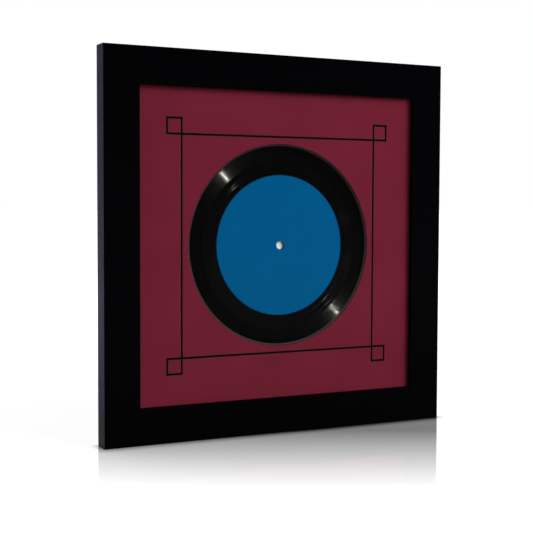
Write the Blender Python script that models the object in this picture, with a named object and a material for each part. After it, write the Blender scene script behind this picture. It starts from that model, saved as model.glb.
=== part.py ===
"""Square wall frame that shows a seven-inch record behind a grooved mat.

The frame faces -Y, +X is its right as seen from the front and +Z is up. The origin is under the middle of
its bounding box, on the surface that it stands on. Every piece is placed from one empty, which lies on the
front face at the middle of the frame: there x runs right, y runs back into the frame and z runs up.
"""

import math

import bmesh
import bpy
from mathutils import Matrix, Vector

MM = 0.001

# Clearance between pieces that touch on the real object, and how far a cut runs past what it cuts.
FIT_GAP = 0.3 * MM
OVERRUN = 2.0 * MM

# The record.
RECORD_DIAMETER = 174.6 * MM
RECORD_THICKNESS = 1.9 * MM
LABEL_DIAMETER = 118.2 * MM
SPINDLE_HOLE_DIAMETER = 7.24 * MM

# The face of the mat, measured outwards from the record's edge to the sight edge of the frame.
MAT_OVERLAP = 3.6 * MM
LINE_MARGIN = 5.8 * MM
CORNER_SQUARE = 12.7 * MM
MAT_MARGIN = 24.9 * MM

# The moulding.
RAIL_WIDTH = 30.15 * MM
LIP_THICKNESS = 3.2 * MM
RABBET_WIDTH = 6.35 * MM
BOARD_CLEARANCE = 1.6 * MM

# The layers in the rabbet, from the front. The record and its tray lie between the mat and the mount board.
GLAZING_THICKNESS = 1.5 * MM
MAT_THICKNESS = 1.5 * MM
MOUNT_BOARD_THICKNESS = 1.5 * MM
FOAM_BOARD_THICKNESS = 2.0 * MM
BACKING_THICKNESS = 2.5 * MM
BACKING_SETBACK = 0.5 * MM

# Fasteners on the back, where their places matter to more than one piece.
BUTTON_INSET = 7.0 * MM
BUTTON_SPREAD = 140.0 * MM
BUTTON_THICKNESS = 1.0 * MM
SCREW_SHANK_DIAMETER = 2.8 * MM
HANGER_LENGTH = 45.0 * MM
HANGER_NAIL_INSET = 4.0 * MM
HANGER_NAIL_DIAMETER = 1.4 * MM
BUMPER_HEIGHT = 4.0 * MM

# Sizes that follow from those above.
OPENING_RADIUS = RECORD_DIAMETER / 2 - MAT_OVERLAP
LINE_REACH = OPENING_RADIUS + MAT_THICKNESS + LINE_MARGIN
SQUARE_REACH = LINE_REACH + CORNER_SQUARE
SIGHT_REACH = SQUARE_REACH + MAT_MARGIN
RABBET_REACH = SIGHT_REACH + RABBET_WIDTH
FRAME_REACH = SIGHT_REACH + RAIL_WIDTH
BOARD_SIDE = 2 * (RABBET_REACH - BOARD_CLEARANCE)

GLAZING_FRONT = LIP_THICKNESS + FIT_GAP
MAT_FRONT = GLAZING_FRONT + GLAZING_THICKNESS + FIT_GAP
TRAY_FRONT = MAT_FRONT + MAT_THICKNESS + FIT_GAP
MOUNT_BOARD_FRONT = TRAY_FRONT + RECORD_THICKNESS + FIT_GAP
FOAM_BOARD_FRONT = MOUNT_BOARD_FRONT + MOUNT_BOARD_THICKNESS + FIT_GAP
BACKING_FRONT = FOAM_BOARD_FRONT + FOAM_BOARD_THICKNESS + FIT_GAP
FRAME_DEPTH = BACKING_FRONT + BACKING_THICKNESS + BACKING_SETBACK
BACK_FITTINGS = FRAME_DEPTH + FIT_GAP
OVERALL_DEPTH = BACK_FITTINGS + BUMPER_HEIGHT

# Turning a piece that is made at the bottom rail or the bottom left corner puts it at the others.
QUARTER_TURN = math.pi / 2
SIDES = {"bottom": 0.0, "left": QUARTER_TURN, "top": 2 * QUARTER_TURN, "right": 3 * QUARTER_TURN}
CORNERS = {
    "bottom_left": 0.0,
    "top_left": QUARTER_TURN,
    "top_right": 2 * QUARTER_TURN,
    "bottom_right": 3 * QUARTER_TURN,
}

MERGE_SHARE = 0.001
SMOOTH_ANGLE = math.radians(40)


def clear_scene():
    for item in list(bpy.data.objects):
        bpy.data.objects.remove(item, do_unlink=True)


def make_centre():
    centre = bpy.data.objects.new("frame_centre", None)
    centre.location = (0, -OVERALL_DEPTH / 2, FRAME_REACH)
    bpy.context.collection.objects.link(centre)
    return centre


def material(name, colour, roughness, metallic=0.0, transmission=0.0):
    made = bpy.data.materials.new(name)
    made.use_nodes = True
    shader = made.node_tree.nodes["Principled BSDF"]
    shader.inputs["Base Color"].default_value = (*colour, 1)
    shader.inputs["Roughness"].default_value = roughness
    shader.inputs["Metallic"].default_value = metallic
    shader.inputs["Transmission Weight"].default_value = transmission
    return made


def add_object(name, bm, centre, location=(0, 0, 0), turn=0.0, finish=None, smooth=False):
    """Makes an object from a bmesh, with its faces pointing out, and places it from the frame's centre."""
    bmesh.ops.recalc_face_normals(bm, faces=bm.faces)
    mesh = bpy.data.meshes.new(name)
    bm.to_mesh(mesh)
    bm.free()
    if smooth:
        mesh.shade_smooth()
        mesh.set_sharp_from_angle(angle=SMOOTH_ANGLE)
    if finish:
        mesh.materials.append(finish)
    made = bpy.data.objects.new(name, mesh)
    made.parent = centre
    made.location = location
    made.rotation_euler = (0, turn, 0)
    bpy.context.collection.objects.link(made)
    return made


def add_cutter(name, bm, centre, location=(0, 0, 0), turn=0.0):
    made = add_object(name, bm, centre, location, turn)
    made.hide_render = True
    made.display_type = "WIRE"
    return made


def cut(target, cutter):
    step = target.modifiers.new(cutter.name, "BOOLEAN")
    step.operation = "DIFFERENCE"
    step.solver = "EXACT"
    step.object = cutter


def box(width, depth, height, front=0.0):
    """A block centred on x and z, whose front face is at y = front."""
    bm = bmesh.new()
    bmesh.ops.create_cube(bm, size=1)
    bmesh.ops.scale(bm, verts=bm.verts, vec=(width, depth, height))
    bmesh.ops.translate(bm, verts=bm.verts, vec=(0, front + depth / 2, 0))
    return bm


def prism(outlines, front, back):
    """Solids with the given outlines, each a list of (x, z), between two depths."""
    bm = bmesh.new()
    for outline in outlines:
        face = bm.faces.new([bm.verts.new((x, front, z)) for x, z in outline])
        grown = bmesh.ops.extrude_face_region(bm, geom=[face])
        moved = [item for item in grown["geom"] if isinstance(item, bmesh.types.BMVert)]
        bmesh.ops.translate(bm, verts=moved, vec=(0, back - front, 0))
    return bm


def turned(profile, segments, closed):
    """A body turned about the y axis from a profile of (radius, y). A closed profile makes a ring, and an
    open one starts and ends on the axis."""
    bm = bmesh.new()
    points = [bm.verts.new((radius, y, 0)) for radius, y in profile]
    pairs = list(zip(points, points[1:]))
    if closed:
        pairs.append((points[-1], points[0]))
    edges = [bm.edges.new(pair) for pair in pairs]
    bmesh.ops.spin(bm, geom=points + edges, cent=(0, 0, 0), axis=(0, 1, 0), angle=2 * math.pi,
                   steps=segments, use_merge=True, use_duplicate=False)
    bmesh.ops.remove_doubles(bm, verts=bm.verts, dist=FIT_GAP * MERGE_SHARE)
    return bm


def cylinder(radius, front, back, segments):
    return turned([(0, front), (radius, front), (radius, back), (0, back)], segments, closed=False)


def arc(centre_x, centre_y, radius, start, end, steps):
    """Points along an arc, from one angle to another in radians, both ends included."""
    points = []
    for step in range(steps + 1):
        angle = start + (end - start) * step / steps
        points.append((centre_x + radius * math.cos(angle), centre_y + radius * math.sin(angle)))
    return points


def on_side(turn, along, outward):
    """A place in the plane of the frame, from a distance along a rail and one outwards from the centre."""
    return Matrix.Rotation(turn, 3, "Y") @ Vector((along, 0, -outward))


# The four rails

RAIL_EDGE_ROUND = 0.6 * MM
RAIL_ROUND_STEPS = 3


def rail_profile():
    """The moulding's section as (width from its outer edge, depth from its front face)."""
    soft = RAIL_EDGE_ROUND
    back = FRAME_DEPTH - soft
    steps = RAIL_ROUND_STEPS
    outer_front = arc(soft, soft, soft, 2 * QUARTER_TURN, 3 * QUARTER_TURN, steps)
    sight_front = arc(RAIL_WIDTH - soft, soft, soft, -QUARTER_TURN, 0, steps)
    rabbet = RAIL_WIDTH - RABBET_WIDTH
    inside = [(RAIL_WIDTH, LIP_THICKNESS), (rabbet, LIP_THICKNESS), (rabbet, FRAME_DEPTH)]
    outer_back = arc(soft, back, soft, QUARTER_TURN, 2 * QUARTER_TURN, steps)
    return outer_front + sight_front + inside + outer_back


def rail_body():
    """The bottom rail, with both ends cut to a mitre that leaves the fitting gap at each joint."""
    bm = bmesh.new()
    ends = []
    mitre_gap = FIT_GAP / math.sqrt(2)
    for side in (-1, 1):
        ends.append([
            bm.verts.new((side * (FRAME_REACH - width - mitre_gap), depth, width - FRAME_REACH))
            for width, depth in rail_profile()
        ])
    left, right = ends
    bm.faces.new(left)
    bm.faces.new(right)
    for index in range(len(left)):
        bm.faces.new((left[index - 1], left[index], right[index], right[index - 1]))
    return bm


def make_rails(centre):
    lacquer = material("black_lacquer", (0.006, 0.006, 0.009), 0.35)
    rails = {}
    for side, turn in SIDES.items():
        rails[side] = add_object(f"rail_{side}", rail_body(), centre, turn=turn, finish=lacquer)
    return rails


# The nails across the mitres

V_NAIL_WING = 5.5 * MM
V_NAIL_THICKNESS = 0.6 * MM
V_NAIL_LENGTH = 10.0 * MM
V_NAIL_SINK = 0.5 * MM
V_NAIL_INSET = 3.8 * MM
V_NAIL_PITCH = 8.6 * MM
V_NAIL_PLACES = {"inner": 0, "outer": 1}


def v_outline(half, wing):
    """A right-angled V whose point is towards the middle of the frame, at the bottom left corner."""
    return [(half, half), (-wing, half), (-wing, -half), (-half, -half), (-half, -wing), (half, -wing)]


def make_v_nails(centre, rails):
    steel = material("nail_steel", (0.42, 0.42, 0.43), 0.4, metallic=1.0)
    back = FRAME_DEPTH - V_NAIL_SINK
    front = back - V_NAIL_LENGTH
    half = V_NAIL_THICKNESS / 2
    for corner, turn in CORNERS.items():
        for place, number in V_NAIL_PLACES.items():
            reach = RABBET_REACH + V_NAIL_INSET + number * V_NAIL_PITCH
            location = on_side(turn, -reach, reach)
            name = f"v_nail_{corner}_{place}"
            nail = prism([v_outline(half, V_NAIL_WING)], front, back)
            add_object(name, nail, centre, location, turn, steel)
            slot = prism([v_outline(half + FIT_GAP, V_NAIL_WING + FIT_GAP)], front - FIT_GAP,
                         FRAME_DEPTH + OVERRUN)
            cutter = add_cutter(f"{name}_cut", slot, centre, location, turn)
            for side in corner.split("_"):
                cut(rails[side], cutter)


# The glazing and the boards behind the record

def make_boards(centre):
    acrylic = material("clear_acrylic", (0.95, 0.97, 0.97), 0.05, transmission=1.0)
    white_board = material("white_board", (0.85, 0.85, 0.83), 0.8)
    foam = material("foam_board", (0.88, 0.88, 0.87), 0.85)
    hardboard = material("hardboard", (0.24, 0.13, 0.07), 0.7)
    layers = (
        ("glazing", GLAZING_FRONT, GLAZING_THICKNESS, acrylic),
        ("mount_board", MOUNT_BOARD_FRONT, MOUNT_BOARD_THICKNESS, white_board),
        ("foam_filler", FOAM_BOARD_FRONT, FOAM_BOARD_THICKNESS, foam),
        ("backing_board", BACKING_FRONT, BACKING_THICKNESS, hardboard),
    )
    for name, front, thickness, finish in layers:
        add_object(name, box(BOARD_SIDE, thickness, BOARD_SIDE), centre, (0, front, 0), finish=finish)


# The mat

LINE_WIDTH = 2.0 * MM
LINE_DEPTH = 0.8 * MM
LINE_END_SHARE = 0.4
CROSS_LINE_SHARE = 0.97
OPENING_SEGMENTS = 128


def groove(length, share):
    """A V-shaped cutter along x, centred on the mat's front face and open to the front."""
    half = share * LINE_WIDTH / 2
    slope = half / (share * LINE_DEPTH)
    bm = bmesh.new()
    ends = []
    for x in (-length / 2, length / 2):
        ends.append([
            bm.verts.new((x, share * LINE_DEPTH, 0)),
            bm.verts.new((x, -OVERRUN, half + slope * OVERRUN)),
            bm.verts.new((x, -OVERRUN, -half - slope * OVERRUN)),
        ])
    left, right = ends
    bm.faces.new(left)
    bm.faces.new(right)
    for index in range(len(left)):
        bm.faces.new((left[index - 1], left[index], right[index], right[index - 1]))
    return bm


def mat_lines():
    """The border as (along, outward, length) for the lines on one side of the mat: the long line, which
    runs on to close the two corner squares, and the outer side of each of those squares."""
    tail = LINE_WIDTH * LINE_END_SHARE
    long_line = (0, LINE_REACH, 2 * (SQUARE_REACH + tail))
    middle = (LINE_REACH + SQUARE_REACH) / 2
    short = CORNER_SQUARE + 2 * tail
    return [long_line, (-middle, SQUARE_REACH, short), (middle, SQUARE_REACH, short)]


def make_mat(centre):
    paper = material("red_mat_paper", (0.14, 0.012, 0.026), 0.85)
    mat = add_object("mat_board", box(BOARD_SIDE, MAT_THICKNESS, BOARD_SIDE), centre, (0, MAT_FRONT, 0),
                     finish=paper)
    front_radius = OPENING_RADIUS + MAT_THICKNESS
    opening = turned([
        (0, -OVERRUN),
        (front_radius + OVERRUN, -OVERRUN),
        (OPENING_RADIUS - OVERRUN, MAT_THICKNESS + OVERRUN),
        (0, MAT_THICKNESS + OVERRUN),
    ], OPENING_SEGMENTS, closed=False)
    cut(mat, add_cutter("mat_opening_cut", opening, centre, (0, MAT_FRONT, 0)))
    for side, turn in SIDES.items():
        share = CROSS_LINE_SHARE if side in ("left", "right") else 1
        for number, (along, outward, length) in enumerate(mat_lines()):
            place = on_side(turn, along, outward) + Vector((0, MAT_FRONT, 0))
            cutter = add_cutter(f"mat_line_{side}_{number}_cut", groove(length, share), centre, place, turn)
            cut(mat, cutter)


# The record, its labels and its tray

RECORD_SEGMENTS = 96
LABEL_THICKNESS = 0.2 * MM
RIM_WIDTH = 2.6 * MM
RIM_SLOPE = 0.8 * MM
RIM_ROUND = 0.5 * MM
GROOVE_DROP = 0.2 * MM
HOLE_CHAMFER = 0.25 * MM
TRAY_CLEARANCE = 0.5 * MM


def record_profile():
    """The record's section as (radius, y), from its hole out along the front and back along the rear. The
    rim stands proud of the grooved band, and each label lies in a round recess."""
    label_drop = FIT_GAP + LABEL_THICKNESS
    hole = SPINDLE_HOLE_DIAMETER / 2
    recess = LABEL_DIAMETER / 2 + FIT_GAP
    edge = RECORD_DIAMETER / 2
    rim = edge - RIM_WIDTH
    front = [
        (hole, label_drop + HOLE_CHAMFER),
        (hole + HOLE_CHAMFER, label_drop),
        (recess, label_drop),
        (recess, GROOVE_DROP),
        (rim - RIM_SLOPE, GROOVE_DROP),
        (rim, 0),
        (edge - RIM_ROUND, 0),
        (edge, RIM_ROUND),
    ]
    rear = [(radius, RECORD_THICKNESS - y) for radius, y in reversed(front)]
    return front + rear


def make_record(centre):
    vinyl = material("black_vinyl", (0.008, 0.008, 0.008), 0.3)
    blue = material("blue_label", (0.0, 0.09, 0.26), 0.6)
    place = (0, TRAY_FRONT, 0)
    add_object("record", turned(record_profile(), RECORD_SEGMENTS, closed=True), centre, place,
               finish=vinyl, smooth=True)
    hole = SPINDLE_HOLE_DIAMETER / 2
    edge = LABEL_DIAMETER / 2
    for name, front in (("label_front", 0), ("label_rear", RECORD_THICKNESS - LABEL_THICKNESS)):
        back = front + LABEL_THICKNESS
        section = [(hole, front), (edge, front), (edge, back), (hole, back)]
        ring = turned(section, RECORD_SEGMENTS, closed=True)
        add_object(name, ring, centre, place, finish=blue, smooth=True)


def make_tray(centre):
    board = material("tray_board", (0.75, 0.74, 0.71), 0.85)
    tray = add_object("record_tray", box(BOARD_SIDE, RECORD_THICKNESS, BOARD_SIDE), centre,
                      (0, TRAY_FRONT, 0), finish=board)
    radius = RECORD_DIAMETER / 2 + TRAY_CLEARANCE
    hole = cylinder(radius, -OVERRUN, RECORD_THICKNESS + OVERRUN, RECORD_SEGMENTS)
    cut(tray, add_cutter("tray_hole_cut", hole, centre, (0, TRAY_FRONT, 0)))


# The turn buttons and their screws

BUTTON_REACH = 15.5 * MM
BUTTON_HEAD_RADIUS = 5.5 * MM
BUTTON_TIP_RADIUS = 3.4 * MM
BUTTON_LIFT = 1.0 * MM
BUTTON_BEND_SHARE = 0.55
BUTTON_ARC_STEPS = 8
BUTTON_PLACES = {
    "button_top_left": ("top", 1),
    "button_top_right": ("top", -1),
    "button_bottom_left": ("bottom", -1),
    "button_bottom_right": ("bottom", 1),
    "button_left": ("left", 0),
    "button_right": ("right", 0),
}
SCREW_LENGTH = 10.0 * MM
SCREW_POINT = 3.0 * MM
SCREW_HEAD_RADIUS = 3.0 * MM
SCREW_HEAD_EDGE = 0.6 * MM
SCREW_HEAD_HEIGHT = 1.6 * MM
SCREW_SEGMENTS = 20
SCREW_DOME_STEPS = 3
RECESS_SPAN = 3.2 * MM
RECESS_WIDTH = 0.8 * MM
RECESS_DEPTH = 1.0 * MM


def button_outline():
    """A pear-shaped plate: the pivot is at the origin and the narrow tip points up, towards the boards."""
    tip_height = BUTTON_REACH - BUTTON_TIP_RADIUS
    tangent = math.asin((BUTTON_HEAD_RADIUS - BUTTON_TIP_RADIUS) / tip_height)
    steps = BUTTON_ARC_STEPS
    tip = arc(0, tip_height, BUTTON_TIP_RADIUS, tangent, math.pi - tangent, steps)
    head = arc(0, 0, BUTTON_HEAD_RADIUS, math.pi - tangent, 2 * math.pi + tangent, 2 * steps)
    return tip + head


def button_body():
    """The plate, with its tip bent back from the boards so that a finger can catch it."""
    bend = BUTTON_REACH * BUTTON_BEND_SHARE
    bm = prism([button_outline()], 0, BUTTON_THICKNESS)
    bmesh.ops.bisect_plane(bm, geom=bm.verts[:] + bm.edges[:] + bm.faces[:], plane_co=(0, 0, bend),
                           plane_no=(0, 0, 1))
    for point in bm.verts:
        past = max(0, point.co.z - bend)
        point.co.y += BUTTON_LIFT * past / (BUTTON_REACH - bend)
    bmesh.ops.triangulate(bm, faces=bm.faces)
    return bm


def screw_profile(neck):
    """The screw's section as (radius, y). Its head's underside is at y = 0 and its shank runs to -y,
    through the button. Neck is how far the shank shows before it enters the wood."""
    shank = SCREW_SHANK_DIAMETER / 2
    length = SCREW_LENGTH + neck
    rise = SCREW_HEAD_HEIGHT - SCREW_HEAD_EDGE
    dome = []
    for step in range(SCREW_DOME_STEPS):
        angle = QUARTER_TURN * step / SCREW_DOME_STEPS
        dome.append((SCREW_HEAD_RADIUS * math.cos(angle), SCREW_HEAD_EDGE + rise * math.sin(angle)))
    under = [(0, -length), (shank, SCREW_POINT - length), (shank, 0), (SCREW_HEAD_RADIUS, 0)]
    return under + dome + [(0, SCREW_HEAD_HEIGHT)]


def cross_outline(span, width):
    """A plus sign of the given span and bar width."""
    near = width / 2
    far = span / 2
    return [(near, near), (near, far), (-near, far), (-near, near), (-far, near), (-far, -near),
            (-near, -near), (-near, -far), (near, -far), (near, -near), (far, -near), (far, near)]


def make_buttons(centre, rails):
    steel = material("button_steel", (0.55, 0.55, 0.56), 0.35, metallic=1.0)
    zinc = material("screw_zinc", (0.62, 0.61, 0.58), 0.3, metallic=1.0)
    outward = RABBET_REACH + BUTTON_INSET
    neck = FIT_GAP + BUTTON_THICKNESS + FIT_GAP
    head_base = FRAME_DEPTH + neck
    hole_radius = SCREW_SHANK_DIAMETER / 2 + FIT_GAP
    for name, (side, step) in BUTTON_PLACES.items():
        turn = SIDES[side]
        pivot = on_side(turn, step * BUTTON_SPREAD / 2, outward)
        under_head = pivot + Vector((0, head_base, 0))
        button = add_object(name, button_body(), centre, pivot + Vector((0, BACK_FITTINGS, 0)), turn, steel)
        hole = cylinder(hole_radius, -SCREW_LENGTH - neck - FIT_GAP, OVERRUN, SCREW_SEGMENTS)
        cutter = add_cutter(f"{name}_hole_cut", hole, centre, under_head, turn)
        cut(button, cutter)
        cut(rails[side], cutter)
        screw_name = name.replace("button", "screw")
        body = turned(screw_profile(neck), SCREW_SEGMENTS, closed=False)
        screw = add_object(screw_name, body, centre, under_head, turn, zinc, smooth=True)
        recess = prism([cross_outline(RECESS_SPAN, RECESS_WIDTH)], SCREW_HEAD_HEIGHT - RECESS_DEPTH,
                       SCREW_HEAD_HEIGHT + OVERRUN)
        cut(screw, add_cutter(f"{screw_name}_recess_cut", recess, centre, under_head, turn))


# The saw-tooth hanger and its nails

HANGER_DROP = 6.0 * MM
HANGER_HEIGHT = 10.0 * MM
HANGER_THICKNESS = 0.8 * MM
HANGER_TAB = 8.0 * MM
HANGER_RAMP = 3.0 * MM
HANGER_RISE = 2.4 * MM
TOOTH_PITCH = 2.5 * MM
TOOTH_NOTCH_SHARE = 0.8
TOOTH_DEPTH = 1.8 * MM
NAIL_LENGTH = 10.0 * MM
NAIL_POINT = 2.0 * MM
NAIL_HEAD_RADIUS = 1.9 * MM
NAIL_HEAD_HEIGHT = 0.7 * MM
NAIL_SEGMENTS = 16


def hanger_reaches():
    """How far the strip, the inner ends of its tabs and its raised middle reach from the strip's centre."""
    far = HANGER_LENGTH / 2
    tab = far - HANGER_TAB
    return far, tab, tab - HANGER_RAMP


def hanger_body():
    """A strip with flat ends and a middle that stands off the wood, drawn in plan and made upright."""
    far, tab, raised = hanger_reaches()
    near = [(-far, 0), (-tab, 0), (-raised, HANGER_RISE), (raised, HANGER_RISE), (tab, 0), (far, 0)]
    outline = near + [(x, y + HANGER_THICKNESS) for x, y in reversed(near)]
    bm = prism([outline], -HANGER_HEIGHT / 2, HANGER_HEIGHT / 2)
    bmesh.ops.rotate(bm, verts=bm.verts, cent=(0, 0, 0), matrix=Matrix.Rotation(-QUARTER_TURN, 3, "X"))
    return bm


def tooth_outlines():
    """The notches between the teeth, open at the strip's lower edge. One is at the strip's middle, and the
    raised part holds as many to each side of it as fit there."""
    raised = hanger_reaches()[2]
    beside = int((raised - TOOTH_PITCH / 2) / TOOTH_PITCH)
    bottom = -HANGER_HEIGHT / 2
    half = TOOTH_PITCH * TOOTH_NOTCH_SHARE / 2
    low = bottom - FIT_GAP
    wide = half + FIT_GAP * half / TOOTH_DEPTH
    notches = []
    for number in range(-beside, beside + 1):
        x = number * TOOTH_PITCH
        notches.append([(x - wide, low), (x + wide, low), (x, bottom + TOOTH_DEPTH)])
    return notches


def nail_profile(neck):
    """The nail's section as (radius, y), with its head's underside at y = 0 and its point towards -y."""
    shank = HANGER_NAIL_DIAMETER / 2
    length = NAIL_LENGTH + neck
    soft = NAIL_HEAD_HEIGHT / 2
    return [(0, -length), (shank, NAIL_POINT - length), (shank, 0), (NAIL_HEAD_RADIUS, 0),
            (NAIL_HEAD_RADIUS, soft), (NAIL_HEAD_RADIUS - soft, NAIL_HEAD_HEIGHT), (0, NAIL_HEAD_HEIGHT)]


def make_hanger(centre, rails):
    brass_plate = material("hanger_brass_plate", (0.72, 0.52, 0.22), 0.35, metallic=1.0)
    nail_steel = material("hanger_nail_steel", (0.6, 0.6, 0.6), 0.35, metallic=1.0)
    height = FRAME_REACH - HANGER_DROP - HANGER_HEIGHT / 2
    middle = Vector((0, BACK_FITTINGS, height))
    hanger = add_object("sawtooth_hanger", hanger_body(), centre, middle, finish=brass_plate)
    teeth = prism(tooth_outlines(), 0, HANGER_RISE + HANGER_THICKNESS + OVERRUN)
    cut(hanger, add_cutter("hanger_teeth_cut", teeth, centre, middle))
    neck = FIT_GAP + HANGER_THICKNESS + FIT_GAP
    for name, side in (("hanger_nail_left", -1), ("hanger_nail_right", 1)):
        x = side * (HANGER_LENGTH / 2 - HANGER_NAIL_INSET)
        place = Vector((x, FRAME_DEPTH + neck, height))
        add_object(name, turned(nail_profile(neck), NAIL_SEGMENTS, False), centre, place,
                   finish=nail_steel, smooth=True)
        hole = cylinder(HANGER_NAIL_DIAMETER / 2 + FIT_GAP, -NAIL_LENGTH - neck - FIT_GAP, OVERRUN,
                        NAIL_SEGMENTS)
        cutter = add_cutter(f"{name}_cut", hole, centre, place)
        cut(hanger, cutter)
        cut(rails["top"], cutter)


# The wall bumpers

BUMPER_BASE_RADIUS = 6.0 * MM
BUMPER_TOP_RADIUS = 4.6 * MM
BUMPER_ROUND = 1.2 * MM
BUMPER_ROUND_STEPS = 3
BUMPER_SIDE_SLOPE = math.radians(15)
BUMPER_SIDE_INSET = 30.0 * MM
BUMPER_FOOT_INSET = 12.0 * MM
BUMPER_SEGMENTS = 28


def make_bumpers(centre):
    rubber = material("bumper_rubber", (0.03, 0.03, 0.03), 0.7)
    soft_edge = arc(BUMPER_TOP_RADIUS, BUMPER_HEIGHT - BUMPER_ROUND, BUMPER_ROUND, BUMPER_SIDE_SLOPE,
                    QUARTER_TURN, BUMPER_ROUND_STEPS)
    profile = [(0, 0), (BUMPER_BASE_RADIUS, 0)] + soft_edge + [(0, BUMPER_HEIGHT)]
    for name, side in (("bumper_left", -1), ("bumper_right", 1)):
        place = (side * (FRAME_REACH - BUMPER_SIDE_INSET), BACK_FITTINGS, BUMPER_FOOT_INSET - FRAME_REACH)
        add_object(name, turned(profile, BUMPER_SEGMENTS, False), centre, place, finish=rubber, smooth=True)


def build():
    clear_scene()
    centre = make_centre()
    rails = make_rails(centre)
    make_v_nails(centre, rails)
    make_boards(centre)
    make_mat(centre)
    make_record(centre)
    make_tray(centre)
    make_buttons(centre, rails)
    make_hanger(centre, rails)
    make_bumpers(centre)


build()
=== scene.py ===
import math

import bmesh
import bpy
from mathutils import Matrix, Vector


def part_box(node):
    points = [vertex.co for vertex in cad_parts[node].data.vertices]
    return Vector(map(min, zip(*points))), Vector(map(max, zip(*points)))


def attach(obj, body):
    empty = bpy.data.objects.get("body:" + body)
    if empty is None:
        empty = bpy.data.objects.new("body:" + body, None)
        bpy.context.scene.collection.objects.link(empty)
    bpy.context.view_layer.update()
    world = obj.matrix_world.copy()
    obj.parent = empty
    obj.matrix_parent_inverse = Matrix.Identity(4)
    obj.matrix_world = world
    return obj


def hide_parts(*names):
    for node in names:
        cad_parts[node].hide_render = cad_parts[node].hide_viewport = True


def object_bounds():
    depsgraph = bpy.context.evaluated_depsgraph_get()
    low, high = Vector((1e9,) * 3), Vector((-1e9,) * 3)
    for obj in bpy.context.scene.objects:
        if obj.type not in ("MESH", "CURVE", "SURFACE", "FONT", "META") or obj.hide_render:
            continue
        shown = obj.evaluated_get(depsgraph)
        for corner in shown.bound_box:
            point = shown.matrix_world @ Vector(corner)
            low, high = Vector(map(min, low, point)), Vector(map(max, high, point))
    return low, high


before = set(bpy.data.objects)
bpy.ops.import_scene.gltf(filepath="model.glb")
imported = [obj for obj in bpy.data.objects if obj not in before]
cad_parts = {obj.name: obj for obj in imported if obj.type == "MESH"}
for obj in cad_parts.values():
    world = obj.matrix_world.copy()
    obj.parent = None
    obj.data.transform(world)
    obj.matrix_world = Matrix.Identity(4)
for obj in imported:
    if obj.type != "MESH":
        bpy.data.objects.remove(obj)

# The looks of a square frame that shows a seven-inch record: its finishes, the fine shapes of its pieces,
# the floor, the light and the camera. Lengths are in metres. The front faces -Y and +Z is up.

MM = 0.001
CAD_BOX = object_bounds()
LOW, HIGH = CAD_BOX
FRONT_CENTRE = Vector((0, LOW.y, (LOW.z + HIGH.z) / 2))
FRAME_BODY = "frame"
QUARTER_TURN = math.pi / 2

# The camera's place from the middle of the front face, the way it looks, and its lens in millimetres.
CAMERA_OFFSET = Vector((-450.3, -849.6, 35.0)) * MM
CAMERA_YAW = math.radians(27.045)
CAMERA_PITCH = math.radians(3.144)
CAMERA_ROLL = math.radians(0.214)
CAMERA_LENS = 77.17
CAMERA_SENSOR = 36.0


def place_camera():
    forward = Vector((
        math.sin(CAMERA_YAW) * math.cos(CAMERA_PITCH),
        math.cos(CAMERA_YAW) * math.cos(CAMERA_PITCH),
        -math.sin(CAMERA_PITCH),
    ))
    level = Vector((math.cos(CAMERA_YAW), -math.sin(CAMERA_YAW), 0))
    upright = level.cross(forward)
    right = level * math.cos(CAMERA_ROLL) + upright * math.sin(CAMERA_ROLL)
    up = upright * math.cos(CAMERA_ROLL) - level * math.sin(CAMERA_ROLL)
    data = bpy.data.cameras.new("photo_camera")
    data.lens = CAMERA_LENS
    data.sensor_width = CAMERA_SENSOR
    camera = bpy.data.objects.new("photo_camera", data)
    turn = Matrix((right, up, -forward)).transposed().to_4x4()
    camera.matrix_world = Matrix.Translation(FRONT_CENTRE + CAMERA_OFFSET) @ turn
    bpy.context.scene.collection.objects.link(camera)
    bpy.context.scene.camera = camera


# Materials

COLOUR_FACTOR, COLOUR_A, COLOUR_B, COLOUR_RESULT = 0, 6, 7, 2
EVEN = (1, 1, 1)


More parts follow.
